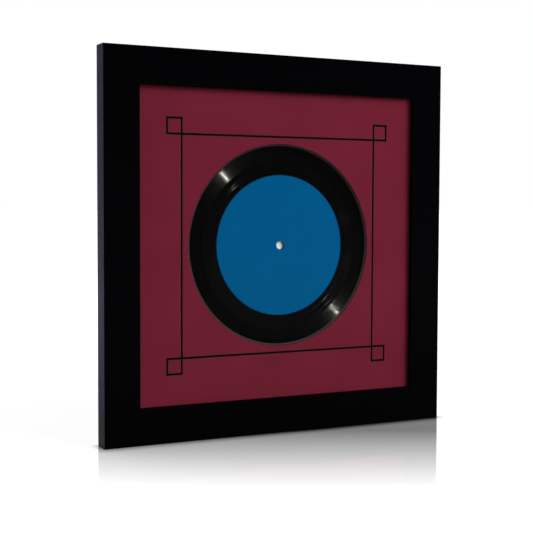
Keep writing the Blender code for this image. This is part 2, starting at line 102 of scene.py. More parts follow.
class Finish:
    """A material built around its Principled shader. Places and sizes in it are metres on the object."""

    def __init__(self, name, **values):
        self.material = bpy.data.materials.new(name)
        self.material.use_nodes = True
        self.tree = self.material.node_tree
        self.shader = self.tree.nodes["Principled BSDF"]
        self.spot = self.tree.nodes.new("ShaderNodeTexCoord").outputs["Object"]
        self.set(**values)

    def put(self, socket, value):
        if isinstance(value, bpy.types.NodeSocket):
            self.tree.links.new(value, socket)
        elif socket.type == "RGBA":
            socket.default_value = (*value, 1)
        else:
            socket.default_value = value

    def set(self, **values):
        for socket, value in values.items():
            self.put(self.shader.inputs[socket.replace("_", " ")], value)

    def node(self, kind, inputs, **settings):
        made = self.tree.nodes.new(kind)
        for name, value in settings.items():
            setattr(made, name, value)
        for key, value in inputs.items():
            self.put(made.inputs[key], value)
        return made

    def math(self, operation, first, second=0.0):
        return self.node("ShaderNodeMath", {0: first, 1: second}, operation=operation).outputs[0]

    def length(self, first, second):
        square = self.math("ADD", self.math("MULTIPLY", first, first), self.math("MULTIPLY", second, second))
        return self.math("SQRT", square)

    def noise(self, size, detail, stretch=EVEN, roughness=0.5):
        """Noise from 0 to 1 whose blobs are about size across, or longer along an axis by its stretch."""
        scale = tuple(1 / (size * factor) for factor in stretch)
        moved = self.node("ShaderNodeMapping", {"Vector": self.spot, "Scale": scale})
        return self.node("ShaderNodeTexNoise", {
            "Vector": moved.outputs[0], "Scale": 1.0, "Detail": detail, "Roughness": roughness,
        }).outputs["Fac"]

    def span(self, value, low, high, to_low=0.0, to_high=1.0):
        """Carries a range of values onto another, and holds it at the ends."""
        return self.node("ShaderNodeMapRange", {
            "Value": value, "From Min": low, "From Max": high, "To Min": to_low, "To Max": to_high,
        }).outputs[0]

    def blend(self, factor, first, second):
        made = self.node("ShaderNodeMix", {
            COLOUR_FACTOR: factor, COLOUR_A: first, COLOUR_B: second,
        }, data_type="RGBA")
        return made.outputs[COLOUR_RESULT]

    def bump(self, height, depth, strength):
        return self.node("ShaderNodeBump", {
            "Height": height, "Distance": depth, "Strength": strength,
        }).outputs[0]

    def axes(self, vector):
        return self.node("ShaderNodeSeparateXYZ", {0: vector}).outputs

    def facing(self):
        """The surface's own direction as x, y and z, without bump."""
        return self.axes(self.node("ShaderNodeNewGeometry", {}).outputs["True Normal"])

    def radius(self):
        """The distance from the axis that runs through the middle of the record."""
        x, y, z = self.axes(self.spot)
        return self.length(x, self.math("SUBTRACT", z, FRONT_CENTRE.z))


# A noise is written as its size, its detail, its stretch along x, y and z and its roughness, and a bump as
# its depth and its strength. A RANGE holds the two values of a noise between which a look comes in, and a
# MOST says how far it comes in.

MOST_NOISE = (0.3, 0.7)
MIDDLE_NOISE = (0.35, 0.65)

LACQUER_BLACK = (0.0001, 0.0001, 0.0005)
LACQUER_IOR = 1.065
LACQUER_ROUGHNESS = (0.22, 0.30)
LACQUER_SMEAR = (22 * MM, 3)
LACQUER_PEEL = (1.4 * MM, 1)
LACQUER_PEEL_SHARE = 0.12
BARE_PINE = ((0.62, 0.42, 0.23), (0.50, 0.31, 0.15))
PINE_RING = (3.0 * MM, 2)
PINE_RING_STRETCH = 14
PINE_FIBRE = (0.35 * MM, 3)
PINE_FIBRE_STRETCH = 60
PINE_FIBRE_SHARE = 0.8
PINE_VEIN = (0.36, 0.20, 0.09)
PINE_VEIN_RANGE = (0.35, 0.75)
PINE_VEIN_MOST = 0.35
PINE_ROUGHER = 0.5
RAIL_BUMP = (0.05 * MM, 1.0)
FACES_REAR = (0.80, 0.92)


def lacquer(grain):
    """Satin black on the front and sides, and bare pine on the back, whose grain runs along the rail."""
    def along_rail(stretch):
        return (stretch, 1, 1) if grain == "x" else (1, 1, stretch)

    made = Finish(f"frame_lacquer_{grain}", IOR=LACQUER_IOR)
    bare = made.span(made.facing()[1], *FACES_REAR)
    fibre = made.noise(*PINE_FIBRE, along_rail(PINE_FIBRE_STRETCH))
    rings = made.noise(*PINE_RING, along_rail(PINE_RING_STRETCH))
    pine = made.blend(made.span(rings, *MIDDLE_NOISE), *BARE_PINE)
    pine = made.blend(made.span(fibre, *PINE_VEIN_RANGE, 0.0, PINE_VEIN_MOST), pine, PINE_VEIN)
    shine = made.span(made.noise(*LACQUER_SMEAR), *MOST_NOISE, *LACQUER_ROUGHNESS)
    peel = made.math("MULTIPLY", made.noise(*LACQUER_PEEL), LACQUER_PEEL_SHARE)
    relief = made.math("MULTIPLY", made.math("MULTIPLY", fibre, bare), PINE_FIBRE_SHARE)
    made.set(
        Base_Color=made.blend(bare, LACQUER_BLACK, pine),
        Roughness=made.math("ADD", shine, made.math("MULTIPLY", bare, PINE_ROUGHER)),
        Normal=made.bump(made.math("ADD", peel, relief), *RAIL_BUMP),
    )
    return made.material


MAT_RED = ((0.139, 0.0130, 0.0262), (0.158, 0.0150, 0.0306))
MAT_CLOUD = (45 * MM, 2)
MAT_PULP = (1.3 * MM, 4, EVEN, 0.7)
MAT_FIBRE = (0.35 * MM, 2, (3, 1, 1))
MAT_FLECK = (0.19, 0.030, 0.050)
MAT_FLECK_RANGE = (0.55, 0.78)
MAT_SHADE = (0.105, 0.009, 0.02)
MAT_SHADE_RANGE = (0.22, 0.45)
MAT_SPECK_MOST = 0.40
MAT_PULP_SHARE = 0.6
MAT_BUMP = (0.04 * MM, 0.6)
MAT_CORE = (0.0035, 0.0030, 0.0035)
# Painted light and shade: the cut lines are painted lighter at their top edge and darker deeper in.
CUT_PAINTED_LIGHT = (0.045, 0.040, 0.045)
CUT_PAINTED_FADE_DEPTH = 0.25 * MM
BEVEL_REACH = 86.5 * MM
# Painted highlight: the bevel of the round opening is painted grey on its inner part and dark further out.
BEVEL_STEP = (84.4 * MM, 84.8 * MM)
BEVEL_PAINTED_HIGHLIGHT = (0.046, 0.044, 0.047)
BEVEL_OUTER = (0.012, 0.010, 0.012)
FACES_FRONT = -0.95


def mat_paper():
    """A red paper face over a black core, which shows in the cut lines and at the round opening."""
    made = Finish("mat_paper", Roughness=0.9, Specular_IOR_Level=0.0)
    cloud = made.noise(*MAT_CLOUD)
    pulp = made.noise(*MAT_PULP)
    fibre = made.noise(*MAT_FIBRE)
    face = made.blend(made.span(cloud, *MOST_NOISE), *MAT_RED)
    face = made.blend(made.span(pulp, *MAT_FLECK_RANGE, 0.0, MAT_SPECK_MOST), face, MAT_FLECK)
    face = made.blend(made.span(pulp, *MAT_SHADE_RANGE, MAT_SPECK_MOST, 0.0), face, MAT_SHADE)
    radius = made.radius()
    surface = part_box("mat_board")[0].y
    depth = made.axes(made.spot)[1]
    # Painted light and shade in the cut lines: lighter at the mat's surface, darker deeper in.
    line = made.blend(made.span(depth, surface, surface + CUT_PAINTED_FADE_DEPTH), CUT_PAINTED_LIGHT, MAT_CORE)
    # Painted highlight on the inner part of the opening's bevel.
    bevel_with_highlight = made.blend(made.span(radius, *BEVEL_STEP), BEVEL_PAINTED_HIGHLIGHT, BEVEL_OUTER)
    cut = made.blend(made.math("LESS_THAN", radius, BEVEL_REACH), line, bevel_with_highlight)
    front = made.math("LESS_THAN", made.facing()[1], FACES_FRONT)
    relief = made.math("ADD", made.math("MULTIPLY", pulp, MAT_PULP_SHARE), fibre)
    made.set(Base_Color=made.blend(front, cut, face), Normal=made.bump(relief, *MAT_BUMP))
    return made.material


VINYL_BLACK = (0.0004, 0.0004, 0.0005)
VINYL_DUST = (0.010, 0.010, 0.011)
DUST = (0.6 * MM, 4, EVEN, 0.8)
DUST_RANGE = (0.66, 0.74)
HAZE = (30 * MM, 2)
HAZE_RANGE = (0.45, 0.65)
VINYL_GRAIN_ACROSS = 0.25 * MM
VINYL_GRAIN_ALONG = 4 * MM
VINYL_ROUGHNESS = 0.02
WALL_ROUGHER = (0.08, 0.34)
LAND_ROUGHER = 0.07
SMUDGE_COLOUR = (0.0066, 0.0066, 0.0060)
SMUDGE_SPOTS = ((64 * MM, 22 * MM), (67 * MM, -14 * MM))
SMUDGE_REACH = 8 * MM
SMUDGE_MOTTLE = (2.5 * MM, 2)
SMUDGE_RANGE = (0.3, 0.6)


def vinyl_roughness(made, radius):
    """Each groove wall goes from glossy at its foot to satin at its top, and the land is glossy."""
    across = made.node("ShaderNodeCombineXYZ", {0: made.math("DIVIDE", radius, VINYL_GRAIN_ACROSS)})
    along = made.node("ShaderNodeMapping", {
        "Vector": made.spot, "Location": across.outputs[0], "Scale": (1 / VINYL_GRAIN_ALONG,) * 3,
    })
    grain = made.node("ShaderNodeTexNoise", {"Vector": along.outputs[0], "Scale": 1.0}).outputs["Fac"]
    half = GROOVE_PITCH / 2
    past_first = made.math("SUBTRACT", radius, BAND_INNER_RADIUS + half)
    up_wall = made.math("DIVIDE", made.math("PINGPONG", past_first, half), half)
    top = made.span(grain, *MIDDLE_NOISE, *WALL_ROUGHER)
    wall = made.math("MULTIPLY", made.math("MULTIPLY", up_wall, up_wall), top)
    in_band = made.math("GREATER_THAN", past_first, -half)
    return made.math("ADD", made.span(in_band, 0.0, 1.0, LAND_ROUGHER, wall), VINYL_ROUGHNESS)


def vinyl_smudges(made):
    """One where a finger has left its mark beside the label."""
    x, y, z = made.axes(made.spot)
    smudged = 0.0
    for right, up in SMUDGE_SPOTS:
        aside = made.math("SUBTRACT", x, right)
        above = made.math("SUBTRACT", z, FRONT_CENTRE.z + up)
        spot = made.span(made.length(aside, above), 0.0, SMUDGE_REACH, 1.0, 0.0)
        smudged = made.math("MAXIMUM", spot, smudged)
    return made.math("MULTIPLY", smudged, made.span(made.noise(*SMUDGE_MOTTLE), *SMUDGE_RANGE))


def vinyl():
    """Pressed black vinyl with a little dust, and a faint coat that spreads the lamp's streak into a fan."""
    made = Finish("black_vinyl", IOR=1.070, Coat_Weight=0.20, Coat_Roughness=0.36, Coat_IOR=1.05)
    dust = made.span(made.noise(*DUST), *DUST_RANGE)
    haze = made.span(made.noise(*HAZE), *HAZE_RANGE)
    black = made.blend(vinyl_smudges(made), VINYL_BLACK, SMUDGE_COLOUR)
    made.set(
        Base_Color=made.blend(made.math("MULTIPLY", dust, haze), black, VINYL_DUST),
        Roughness=vinyl_roughness(made, made.radius()),
    )
    return made.material


LABEL_BLUE = ((0.0002, 0.0870, 0.235), (0.0004, 0.0905, 0.244))
LABEL_CLOUD = (18 * MM, 2)
LABEL_GRAIN = (0.5 * MM, 3, EVEN, 0.7)
LABEL_FLECK = (0.004, 0.110, 0.290)
LABEL_FLECK_RANGE = (0.55, 0.80)
LABEL_FLECK_MOST = 0.25
LABEL_BUMP = (0.02 * MM, 0.5)


def label_paper():
    made = Finish("label_paper", Roughness=0.75, Specular_IOR_Level=0.0)
    grain = made.noise(*LABEL_GRAIN)
    blue = made.blend(made.span(made.noise(*LABEL_CLOUD), *MOST_NOISE), *LABEL_BLUE)
    fleck = made.span(grain, *LABEL_FLECK_RANGE, 0.0, LABEL_FLECK_MOST)
    made.set(Base_Color=made.blend(fleck, blue, LABEL_FLECK), Normal=made.bump(grain, *LABEL_BUMP))
    return made.material


# Each board's pale and dark colour and the size of its pulp.

WHITE_BOARD = ((0.86, 0.86, 0.84), (0.78, 0.78, 0.75), 1.2 * MM)
FOAM_BOARD = ((0.88, 0.88, 0.87), (0.80, 0.80, 0.79), 0.8 * MM)
BOARD_PULP = (4, EVEN, 0.7)
BOARD_FIBRE = (2, (4, 1, 1))
PULP_TO_FIBRE = 3
BOARD_RANGE = (0.35, 0.75)
BOARD_BUMP = (0.05 * MM, 0.6)


def board_paper(name, pale, dark, size):
    """Uncoated board with a soft fibre surface."""
    made = Finish(name, Roughness=0.85, Specular_IOR_Level=0.2)
    pulp = made.noise(size, *BOARD_PULP)
    fibre = made.noise(size / PULP_TO_FIBRE, *BOARD_FIBRE)
    made.set(
        Base_Color=made.blend(made.span(pulp, *BOARD_RANGE), pale, dark),
        Normal=made.bump(made.math("ADD", pulp, fibre), *BOARD_BUMP),
    )
    return made.material


HARDBOARD_BROWN = ((0.235, 0.125, 0.060), (0.30, 0.17, 0.085))
HARDBOARD_CLOUD = (26 * MM, 3)
HARDBOARD_FIBRE = (0.8 * MM, 4, (2.5, 1, 1), 0.7)
FIBRE_BROWN = (0.14, 0.07, 0.032)
FIBRE_RANGE = (0.3, 0.75)
FIBRE_MOST = 0.55
SCREEN_PITCH = 1.5 * MM
SCREEN_BROWN = (0.12, 0.06, 0.028)
SCREEN_RANGE = (0.0, 0.5)
SCREEN_MOST = 0.30
SCREEN_SHARE = 0.7
HARDBOARD_BUMP = (0.22 * MM, 0.8)


def hardboard():
    """Brown pressed fibre with the print of the wire screen on its rough side."""
    made = Finish("hardboard", Roughness=0.8, Specular_IOR_Level=0.25)
    x, y, z = made.axes(made.spot)
    turn = 2 * math.pi / SCREEN_PITCH
    across = made.math("SINE", made.math("MULTIPLY", x, turn))
    upward = made.math("SINE", made.math("MULTIPLY", z, turn))
    screen = made.span(made.math("MULTIPLY", across, upward), -1.0, 1.0)
    fibre = made.noise(*HARDBOARD_FIBRE)
    brown = made.blend(made.span(made.noise(*HARDBOARD_CLOUD), *MOST_NOISE), *HARDBOARD_BROWN)
    brown = made.blend(made.span(fibre, *FIBRE_RANGE, FIBRE_MOST, 0.0), brown, FIBRE_BROWN)
    brown = made.blend(made.span(screen, *SCREEN_RANGE, SCREEN_MOST, 0.0), brown, SCREEN_BROWN)
    relief = made.math("ADD", made.math("MULTIPLY", screen, SCREEN_SHARE), fibre)
    made.set(Base_Color=brown, Normal=made.bump(relief, *HARDBOARD_BUMP))
    return made.material


# Each metal's bright and dull colour, its roughness and the size of its mottle.

STEEL = ((0.50, 0.50, 0.51), (0.36, 0.36, 0.37), 0.38, 1.5 * MM)
ZINC = ((0.66, 0.65, 0.60), (0.50, 0.49, 0.45), 0.30, 0.8 * MM)
PRESSED_STEEL = ((0.62, 0.62, 0.63), (0.46, 0.46, 0.47), 0.34, 2.2 * MM)
BRASS = ((0.80, 0.58, 0.26), (0.62, 0.43, 0.17), 0.30, 1.5 * MM)
MOTTLE = (4, EVEN, 0.6)
MOTTLE_RANGE = (0.35, 0.7)
MOTTLE_SHARE = 0.6
SCRATCH = (0.12 * MM, 2, (1, 1, 14))
GLOSSIER, DULLER = -0.07, 0.10
PLATING_BUMP = (0.012 * MM, 0.5)


def plated(name, bright, dull, roughness, size):
    """Plated steel: mottled, in blobs about size across, with fine scratches."""
    made = Finish(name, Metallic=1.0)
    mottle = made.noise(size, *MOTTLE)
    relief = made.math("ADD", made.noise(*SCRATCH), made.math("MULTIPLY", mottle, MOTTLE_SHARE))
    made.set(
        Base_Color=made.blend(made.span(mottle, *MOTTLE_RANGE), bright, dull),
        Roughness=made.span(mottle, *MOST_NOISE, roughness + GLOSSIER, roughness + DULLER),
        Normal=made.bump(relief, *PLATING_BUMP),
    )
    return made.material


RUBBER_BLACK = ((0.018, 0.018, 0.019), (0.035, 0.035, 0.035))
RUBBER_GRAIN = (0.5 * MM, 3)
RUBBER_RANGE = (0.4, 0.75)
RUBBER_ROUGHNESS = (0.55, 0.75)
RUBBER_BUMP = (0.03 * MM, 0.5)


def rubber():
    made = Finish("bumper_rubber", Specular_IOR_Level=0.3)
    grain = made.noise(*RUBBER_GRAIN)
    made.set(
        Base_Color=made.blend(made.span(grain, *RUBBER_RANGE), *RUBBER_BLACK),
        Roughness=made.span(grain, *MOST_NOISE, *RUBBER_ROUGHNESS),
        Normal=made.bump(grain, *RUBBER_BUMP),
    )
    return made.material


GLAZING_IOR = 1.05
GLAZING_TINT = (0.992, 0.997, 0.995)
GLAZING_SMEAR = (60 * MM, 3)
GLAZING_ROUGHNESS = (0.02, 0.06)


def clear_glazing():
    """Low-reflection glazing: it lets light straight through and mirrors only at a low angle."""
    made = Finish("clear_glazing")
    fresnel = made.node("ShaderNodeFresnel", {"IOR": GLAZING_IOR}).outputs[0]
    outside = made.math("SUBTRACT", 1.0, made.node("ShaderNodeNewGeometry", {}).outputs["Backfacing"])
    smear = made.span(made.noise(*GLAZING_SMEAR), *MOST_NOISE, *GLAZING_ROUGHNESS)
    mirror = made.node("ShaderNodeBsdfGlossy", {"Color": (1, 1, 1), "Roughness": smear})
    clear = made.node("ShaderNodeBsdfTransparent", {"Color": GLAZING_TINT})
    mixed = made.node("ShaderNodeMixShader", {
        0: made.math("MULTIPLY", fresnel, outside), 1: clear.outputs[0], 2: mirror.outputs[0],
    })
    output = made.tree.nodes["Material Output"]
    made.tree.nodes.remove(made.shader)
    made.tree.links.new(mixed.outputs[0], output.inputs["Surface"])
    return made.material


# Shapes

MERGE_DISTANCE = 1e-6
SMOOTH_ANGLE = math.radians(38)
FLAT_ANGLE = math.radians(1)
SOFT_EDGE_ANGLE = math.radians(30)
SOFT_EDGE_SEGMENTS = 3
ROUND_SEGMENTS = 64


def new_piece(name, bm, finish, smooth=SMOOTH_ANGLE):
    bmesh.ops.recalc_face_normals(bm, faces=bm.faces)
    mesh = bpy.data.meshes.new(name)
    bm.to_mesh(mesh)
    bm.free()
    mesh.shade_smooth()
    mesh.set_sharp_from_angle(angle=smooth)
    mesh.materials.append(finish)
    piece = bpy.data.objects.new(name, mesh)
    bpy.context.scene.collection.objects.link(piece)
    return piece


def turned(profile, segments, centre, closed=False):
    """A body turned about an axis along y through centre, from a profile of (radius, y)."""
    bm = bmesh.new()
    points = [bm.verts.new((radius, y, 0)) for radius, y in profile]
    pairs = list(zip(points, points[1:]))
    if closed:
        pairs.append((points[-1], points[0]))
    edges = [bm.edges.new(pair) for pair in pairs]
    bmesh.ops.spin(bm, geom=points + edges, cent=(0, 0, 0), axis=(0, 1, 0), angle=2 * math.pi,
                   steps=segments, use_merge=True, use_duplicate=False)
    bmesh.ops.remove_doubles(bm, verts=bm.verts, dist=MERGE_DISTANCE)
    bmesh.ops.translate(bm, verts=bm.verts, vec=centre)
    return bm


def arc(centre, radius, start, end, steps):
    points = []
    for step in range(steps + 1):
        angle = start + (end - start) * step / steps
        points.append((centre[0] + radius * math.cos(angle), centre[1] + radius * math.sin(angle)))
    return points


def node_shape(node):
    """The node's shape with each point written once."""
    bm = bmesh.new()
    bm.from_mesh(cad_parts[node].data)
    bmesh.ops.remove_doubles(bm, verts=bm.verts, dist=MERGE_DISTANCE)
    clean = bmesh.new()
    points = [clean.verts.new(vert.co) for vert in bm.verts]
    for face in bm.faces:
        clean.faces.new([points[vert.index] for vert in face.verts])
    bm.free()
    return clean


def half_width(node):
    low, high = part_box(node)
    return (high.x - low.x) / 2


def stand_for(piece, node, body=FRAME_BODY):
    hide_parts(node)
    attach(piece, body)


def soften(piece, width):
    step = piece.modifiers.new("soft_edges", "BEVEL")
    step.width = width
    step.segments = SOFT_EDGE_SEGMENTS
    step.limit_method = "ANGLE"
    step.angle_limit = SOFT_EDGE_ANGLE
    step.harden_normals = True


def refined(name, node, finish, body=FRAME_BODY, edge=0.0, flat=False):
    """A finer copy of a node, with smooth round faces and, where an edge width is given, soft corners.
    Where it is flat, the faces that lie in one plane are joined first."""
    bm = node_shape(node)
    if flat:
        bmesh.ops.dissolve_limit(bm, angle_limit=FLAT_ANGLE, verts=bm.verts, edges=bm.edges)
    piece = new_piece(name, bm, finish)
    if edge:
        soften(piece, edge)
    stand_for(piece, node, body)
    return piece


# The rails

MITRE_GAP_LIMIT = 0.4 * MM
MITRE_HAIRLINE = 0.02 * MM

# Each rail's grain, and the numbers of the axes that it runs along and lies across.
RAIL_AXES = {"top": ("x", 0, 2), "bottom": ("x", 0, 2), "left": ("z", 2, 0), "right": ("z", 2, 0)}


def draw_up_mitres(bm, along, across):
    """Moves the points on a rail's mitred ends out, so that the lacquered joints close to a hairline."""
    for vert in bm.verts:
        spot = vert.co - FRONT_CENTRE
        gap = abs(spot[across]) - abs(spot[along])
        if 0 < gap < MITRE_GAP_LIMIT:
            reach = abs(spot[across]) - MITRE_HAIRLINE
            vert.co[along] = FRONT_CENTRE[along] + math.copysign(reach, spot[along])


def make_rails():
    finishes = {"x": lacquer("x"), "z": lacquer("z")}
    rails = []
    for side, (grain, along, across) in RAIL_AXES.items():
        bm = node_shape(f"rail_{side}")
        draw_up_mitres(bm, along, across)
        rail = new_piece(f"moulding_{side}", bm, finishes[grain])
        step = rail.modifiers.new("flat_faces", "WEIGHTED_NORMAL")
        step.keep_sharp = True
        stand_for(rail, f"rail_{side}")
        rails.append(rail)
    return rails


# The record and its labels

RECORD_SEGMENTS = 256
SPINDLE_HOLE_RADIUS = 3.62 * MM
LABEL_RECESS_GAP = 0.3 * MM
LABEL_BED = 0.5 * MM
VINYL_LEVEL = 0.2 * MM
HOLE_CHAMFER = 0.25 * MM
RIM_WIDTH = 2.6 * MM
RIM_SLOPE = 0.8 * MM
RIM_ROUND = 0.5 * MM
RIM_ROUND_STEPS = 5
BAND_INNER_RADIUS = 71.9 * MM
BAND_OUTER_RADIUS = 83.9 * MM
GROOVE_PITCH = 0.4 * MM
GROOVE_HALF_WIDTH = 0.17 * MM
GROOVE_WALL_ANGLE = math.radians(32.4)
LOCKED_GROOVE_RADIUS = 64.2 * MM
RUN_OUT_RADIUS = 67.75 * MM
RUN_OUT_DRIFT = 1.25 * MM
RUN_OUT_TOWARDS = math.radians(-48)
LABEL_EDGE_SOFTNESS = 0.05 * MM
VINYL_SMOOTH_ANGLE = math.radians(12)


def groove_at(radius):
    depth = GROOVE_HALF_WIDTH * math.tan(GROOVE_WALL_ANGLE)
    return [
        (radius - GROOVE_HALF_WIDTH, VINYL_LEVEL),
        (radius, VINYL_LEVEL + depth),
        (radius + GROOVE_HALF_WIDTH, VINYL_LEVEL),
    ]


def record_profile(edge, label_edge, thickness):
    """The record's section as (radius, y): out along the grooved front and back along the plain rear."""
    rim = edge - RIM_WIDTH
    inner = [
        (SPINDLE_HOLE_RADIUS, LABEL_BED + HOLE_CHAMFER),
        (SPINDLE_HOLE_RADIUS + HOLE_CHAMFER, LABEL_BED),
        (label_edge + LABEL_RECESS_GAP, LABEL_BED),
        (label_edge + LABEL_RECESS_GAP, VINYL_LEVEL),
    ]
    outer = [(rim - RIM_SLOPE, VINYL_LEVEL), (rim, 0)]
    outer += arc((edge - RIM_ROUND, RIM_ROUND), RIM_ROUND, -QUARTER_TURN, 0, RIM_ROUND_STEPS)
    grooves = groove_at(LOCKED_GROOVE_RADIUS) + groove_at(RUN_OUT_RADIUS)
    count = round((BAND_OUTER_RADIUS - BAND_INNER_RADIUS) / GROOVE_PITCH)
    for number in range(count):
        grooves += groove_at(BAND_INNER_RADIUS + (number + 0.5) * GROOVE_PITCH)
    rear = [(radius, thickness - y) for radius, y in reversed(inner + outer)]
    return inner + grooves + outer + rear


def make_disc():
    low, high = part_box("record")
    centre = Vector((0, low.y, FRONT_CENTRE.z))
    profile = record_profile(half_width("record"), half_width("label_front"), high.y - low.y)
    bm = turned(profile, RECORD_SEGMENTS, centre, closed=True)
    drift = Vector((math.cos(RUN_OUT_TOWARDS), 0, math.sin(RUN_OUT_TOWARDS))) * RUN_OUT_DRIFT
    for vert in bm.verts:
        reach = math.hypot(vert.co.x - centre.x, vert.co.z - centre.z)
        if abs(reach - RUN_OUT_RADIUS) < GROOVE_PITCH:
            vert.co += drift
    disc = new_piece("grooved_disc", bm, vinyl(), smooth=VINYL_SMOOTH_ANGLE)
    stand_for(disc, "record")
    return disc


def make_labels():
    paper = label_paper()
    edge = half_width("label_front")
    hole = SPINDLE_HOLE_RADIUS
    soft = LABEL_EDGE_SOFTNESS
    for name, node in (("front_label", "label_front"), ("rear_label", "label_rear")):
        low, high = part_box(node)
        deep = high.y - low.y
        profile = [
            (hole, soft), (hole + soft, 0), (edge - soft, 0), (edge, soft),
            (edge, deep - soft), (edge - soft, deep), (hole + soft, deep), (hole, deep - soft),
        ]
        centre = Vector((0, low.y, FRONT_CENTRE.z))
        ring = new_piece(name, turned(profile, RECORD_SEGMENTS, centre, closed=True), paper)
        stand_for(ring, node)


# The boards

BOARD_EDGE = 0.25 * MM


def make_boards():
    refined("grooved_mat", "mat_board", mat_paper())
    refined("hardboard_back", "backing_board", hardboard(), edge=BOARD_EDGE, flat=True)
    white = board_paper("white_board", *WHITE_BOARD)
    foam = board_paper("foam_board", *FOAM_BOARD)
    for node, finish in (("record_tray", white), ("mount_board", white), ("foam_filler", foam),
                         ("glazing", clear_glazing())):
        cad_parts[node].material_slots[0].material = finish


# The fasteners

SCREW_HEAD_EDGE = 0.5 * MM
SCREW_HEAD_HEIGHT = 1.6 * MM
SCREW_HEAD_CHAMFER = 0.1 * MM
SCREW_DOME_STEPS = 8
SCREW_SHANK_RADIUS = 1.4 * MM
SCREW_POINT = 3.0 * MM
RECESS_SPAN = 3.4 * MM
RECESS_WIDTH = 0.85 * MM
RECESS_DEPTH = 1.1 * MM
RECESS_TAPER_SHARE = 0.45
SCREW_TURNS = {
    "top_left": math.radians(12),
    "top_right": math.radians(66),
    "bottom_left": math.radians(31),
    "bottom_right": math.radians(80),
    "left": math.radians(50),
    "right": math.radians(5),
}
OVERRUN = 1.0 * MM


def place_of(node):
    """A node's lowest and highest y, and the middle of its x and z."""
    low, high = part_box(node)
    return low.y, high.y, Vector(((low.x + high.x) / 2, 0, (low.z + high.z) / 2))


def carve(piece, cutter):
    """Cuts one piece with another and keeps the result as its mesh."""
    step = piece.modifiers.new("cut", "BOOLEAN")
    step.operation = "DIFFERENCE"
    step.solver = "EXACT"
    step.object = cutter
    bpy.context.view_layer.update()
    shown = piece.evaluated_get(bpy.context.evaluated_depsgraph_get())
    mesh = bpy.data.meshes.new_from_object(shown)
    piece.modifiers.clear()
    piece.data = mesh
    bpy.data.objects.remove(cutter, do_unlink=True)


def cross_recess(centre, top, turn):
    """A tapered plus-shaped cutter whose point is in the screw's head."""
    bm = bmesh.new()
    near = RECESS_WIDTH / 2
    far = RECESS_SPAN / 2
    outline = [(near, near), (near, far), (-near, far), (-near, near), (-far, near), (-far, -near),
               (-near, -near), (-near, -far), (near, -far), (near, -near), (far, -near), (far, near)]
    levels = ((RECESS_TAPER_SHARE, top - RECESS_DEPTH), (1.0, top), (1.0, top + OVERRUN))
    rings = []
    for share, y in levels:
        rings.append([bm.verts.new((x * share, y, z * share)) for x, z in outline])
    bm.faces.new(rings[0])
    bm.faces.new(rings[-1])
    for lower, upper in zip(rings, rings[1:]):
        for index in range(len(outline)):
            bm.faces.new((lower[index - 1], lower[index], upper[index], upper[index - 1]))
    bmesh.ops.rotate(bm, verts=bm.verts, cent=(0, 0, 0), matrix=Matrix.Rotation(turn, 3, "Y"))
    bmesh.ops.translate(bm, verts=bm.verts, vec=centre)
    return bm


def make_screws(finish):
    for place, turn in SCREW_TURNS.items():
        node = f"screw_{place}"
        tip, top, middle = place_of(node)
        head = half_width(node)
        under = top - SCREW_HEAD_HEIGHT
        rise = SCREW_HEAD_HEIGHT - SCREW_HEAD_EDGE
        dome = []
        for step in range(SCREW_DOME_STEPS):
            angle = step * QUARTER_TURN / SCREW_DOME_STEPS
            dome.append((head * math.cos(angle), under + SCREW_HEAD_EDGE + rise * math.sin(angle)))
        profile = [
            (0, tip), (SCREW_SHANK_RADIUS, tip + SCREW_POINT), (SCREW_SHANK_RADIUS, under),
            (head - SCREW_HEAD_CHAMFER, under), (head, under + SCREW_HEAD_CHAMFER), *dome, (0, top),
        ]
        screw = new_piece(f"cross_screw_{place}", turned(profile, ROUND_SEGMENTS, middle), finish)
        carve(screw, new_piece("recess", cross_recess(middle, top, turn), finish))
        stand_for(screw, node)


NAIL_SHANK_RADIUS = 0.7 * MM
NAIL_POINT = 2.0 * MM
NAIL_HEAD_HEIGHT = 0.7 * MM
NAIL_HEAD_ROUND = 0.3 * MM
NAIL_ROUND_STEPS = 4
HANGER_EDGE = 0.12 * MM


def make_hanger(nail_finish):
    brass = plated("brass_plate", *BRASS)
    refined("saw_tooth_strip", "sawtooth_hanger", brass, edge=HANGER_EDGE, flat=True)
    for side in ("left", "right"):
        node = f"hanger_nail_{side}"
        tip, top, middle = place_of(node)
        head = half_width(node)
        under = top - NAIL_HEAD_HEIGHT
        soft = arc((head - NAIL_HEAD_ROUND, top - NAIL_HEAD_ROUND), NAIL_HEAD_ROUND, 0, QUARTER_TURN,
                   NAIL_ROUND_STEPS)
        profile = [
            (0, tip), (NAIL_SHANK_RADIUS, tip + NAIL_POINT), (NAIL_SHANK_RADIUS, under), (head, under),
            *soft, (0, top),
        ]
        nail = new_piece(f"strip_nail_{side}", turned(profile, ROUND_SEGMENTS, middle), nail_finish)
        stand_for(nail, node)


BUMPER_TOP_SHARE = 0.77
BUMPER_ROUND = 1.2 * MM
BUMPER_ROUND_START = math.radians(15)
BUMPER_ROUND_STEPS = 8


def make_bumpers():
    finish = rubber()
    for side in ("left", "right"):
        node = f"bumper_{side}"
        foot, tip, middle = place_of(node)
        base = half_width(node)
        soft = arc((base * BUMPER_TOP_SHARE, tip - BUMPER_ROUND), BUMPER_ROUND, BUMPER_ROUND_START,
                   QUARTER_TURN, BUMPER_ROUND_STEPS)
        profile = [(0, foot), (base, foot), *soft, (0, tip)]
        dome = new_piece(f"rubber_dome_{side}", turned(profile, ROUND_SEGMENTS, middle), finish)
        stand_for(dome, node)


BUTTON_EDGE = 0.22 * MM


def make_fasteners():
    steel = plated("nail_steel", *STEEL)
    zinc = plated("screw_zinc", *ZINC)
    pressed = plated("button_steel", *PRESSED_STEEL)
    for place in SCREW_TURNS:
        refined(f"turn_button_{place}", f"button_{place}", pressed, f"turn_{place}",
                edge=BUTTON_EDGE, flat=True)
    make_screws(zinc)
    make_hanger(steel)
    make_bumpers()
    for name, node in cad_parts.items():
        if name.startswith("v_nail"):
            node.material_slots[0].material = steel


# The floor

